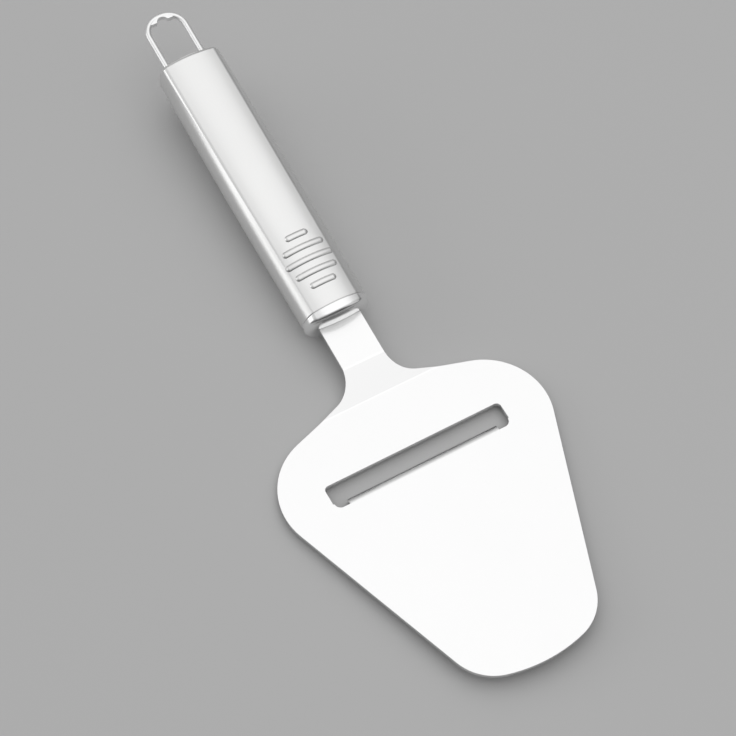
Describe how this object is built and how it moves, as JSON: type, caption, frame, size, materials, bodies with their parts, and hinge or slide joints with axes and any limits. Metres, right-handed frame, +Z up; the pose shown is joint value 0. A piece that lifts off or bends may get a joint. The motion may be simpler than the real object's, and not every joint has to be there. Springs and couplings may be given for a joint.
{
  "type": "cheese slicer",
  "caption": "Stainless steel cheese slicer: stamped tapered blade with a slotted cutting lip, hollow satin handle with thumb ribs and a wire hanging loop.",
  "frame": {"origin": "on the surface the tool lies on, under the middle of its bounding box", "axes": "+Z up, +Y along the tool from the blade's tip to the hanging loop, +X to the right seen from above with the loop away from the viewer"},
  "size_m": [0.088, 0.2444, 0.0237],
  "materials": {
    "blade_steel": "finely brushed, near white under a broad light",
    "satin_steel": "satin, brushed across the handle",
    "polished_steel": "mirror polished",
    "weld_steel": "as welded, dull"
  },
  "bodies": {
    "root": {"blade": "blade_steel", "handle_tube": "satin_steel", "front_cap": "polished_steel", "rear_cap": "satin_steel", "hanging_loop": "polished_steel", "tang_weld_upper": "weld_steel", "tang_weld_lower": "weld_steel", "loop_weld_right": "weld_steel", "loop_weld_left": "weld_steel"}
  },
  "joints": []
}
